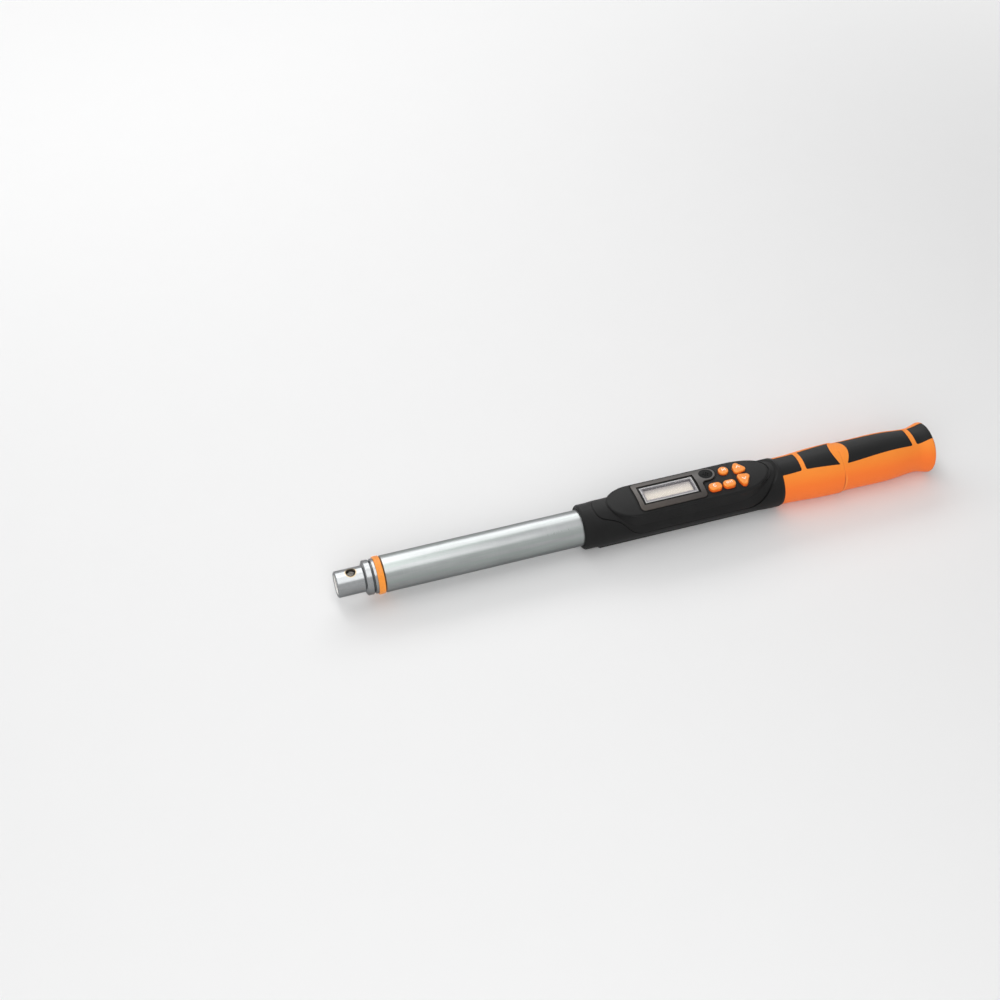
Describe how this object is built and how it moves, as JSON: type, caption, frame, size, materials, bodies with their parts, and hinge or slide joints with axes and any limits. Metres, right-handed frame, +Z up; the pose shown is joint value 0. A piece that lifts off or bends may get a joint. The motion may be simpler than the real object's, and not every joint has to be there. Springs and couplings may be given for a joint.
{
  "type": "torque wrench",
  "caption": "Digital torque wrench with an open round socket for interchangeable heads, a display pod with keys, and an overmoulded grip closed by a screwed battery cap.",
  "frame": {"origin": "on the surface that the wrench lies on, under the middle of its length, on the centre line of the tube", "axes": "+X along the tube from the head socket to the grip, +Z up out of the display, +Y across the tube away from the two lower keys"},
  "size_m": [0.485, 0.0402, 0.0396],
  "materials": {
    "chrome_steel": "polished chrome plating with turning marks",
    "plain_steel": "plain machined steel",
    "satin_steel": "satin chromed tube",
    "gauge_foil": "foil gauges on a polyimide backing",
    "lead_sleeve": "insulated wire",
    "ring_plastic": "smooth orange plastic",
    "black_shell": "fine spark-eroded texture",
    "bezel_plastic": "satin dark grey",
    "clear_lens": "clear moulded window",
    "lcd_glass": "reflective display glass, switched off",
    "white_plastic": "white holder",
    "soft_grey": "silicone rubber",
    "board_green": "solder resist",
    "chip_black": "moulded component bodies",
    "key_orange": "glossy orange keys",
    "gasket_black": "soft sealing strip",
    "black_core": "hard black core, satin",
    "orange_rubber": "soft-touch orange overmould",
    "contact_metal": "nickel-plated spring steel",
    "cell_can": null
  },
  "bodies": {
    "wrench": {"torque_beam": "chrome_steel", "beam_pins": "plain_steel", "strain_gauges": "gauge_foil", "gauge_lead": "lead_sleeve", "outer_tube": "satin_steel", "marker_ring": "ring_plastic", "housing_body": "black_shell", "housing_cover": "black_shell", "housing_screws": "plain_steel", "display_bezel": "bezel_plastic", "bezel_gasket": "gasket_black", "display_lens": "clear_lens", "lcd_panel": "lcd_glass", "lcd_frame": "white_plastic", "lcd_strips": "soft_grey", "buzzer_grille": "black_shell", "buzzer": "black_shell", "main_board": "board_green", "board_parts": "chip_black", "board_screws": "plain_steel", "tact_switches": "plain_steel", "key_mat": "soft_grey", "grip_core": "black_core", "grip_overmould": "orange_rubber", "battery_sleeve": "black_shell", "front_contact": "contact_metal", "battery_lead": "lead_sleeve", "battery_front": "cell_can", "battery_rear": "cell_can"},
    "key_mode_body": {"key_mode": "key_orange"},
    "key_clear_body": {"key_clear": "key_orange"},
    "key_unit_body": {"key_unit": "key_orange"},
    "key_up_body": {"key_up": "key_orange"},
    "key_down_body": {"key_down": "key_orange"},
    "cap_travel_body": {"cap_seal": "soft_grey"},
    "cap_body": {"battery_cap": "black_core", "cap_spring": "contact_metal"}
  },
  "joints": [
    {"name": "key_mode_press", "type": "slide", "parent": "wrench", "child": "key_mode_body", "axis": [0, 0, -1], "range_m": [0, 0.0009], "stiffness_N_per_m": 250, "springref_m": -0.002},
    {"name": "key_clear_press", "type": "slide", "parent": "wrench", "child": "key_clear_body", "axis": [0, 0, -1], "range_m": [0, 0.0009], "stiffness_N_per_m": 250, "springref_m": -0.002},
    {"name": "key_unit_press", "type": "slide", "parent": "wrench", "child": "key_unit_body", "axis": [0, 0, -1], "range_m": [0, 0.0009], "stiffness_N_per_m": 250, "springref_m": -0.002},
    {"name": "key_up_press", "type": "slide", "parent": "wrench", "child": "key_up_body", "axis": [0, 0, -1], "range_m": [0, 0.0009], "stiffness_N_per_m": 250, "springref_m": -0.002},
    {"name": "key_down_press", "type": "slide", "parent": "wrench", "child": "key_down_body", "axis": [0, 0, -1], "range_m": [0, 0.0009], "stiffness_N_per_m": 250, "springref_m": -0.002},
    {"name": "cap_travel", "type": "slide", "parent": "wrench", "child": "cap_travel_body", "axis": [1, 0, 0], "range_m": [0, 0.0045]},
    {"name": "cap_turn", "type": "hinge", "parent": "cap_travel_body", "child": "cap_body", "pos_m": [0.239, 0, 0.0192], "axis": [1, 0, 0], "range_deg": [0, 1080]}
  ],
  "couplings": [
    {"joint": "cap_turn", "follows": "cap_travel", "rad_per_m": 4188.7}
  ]
}
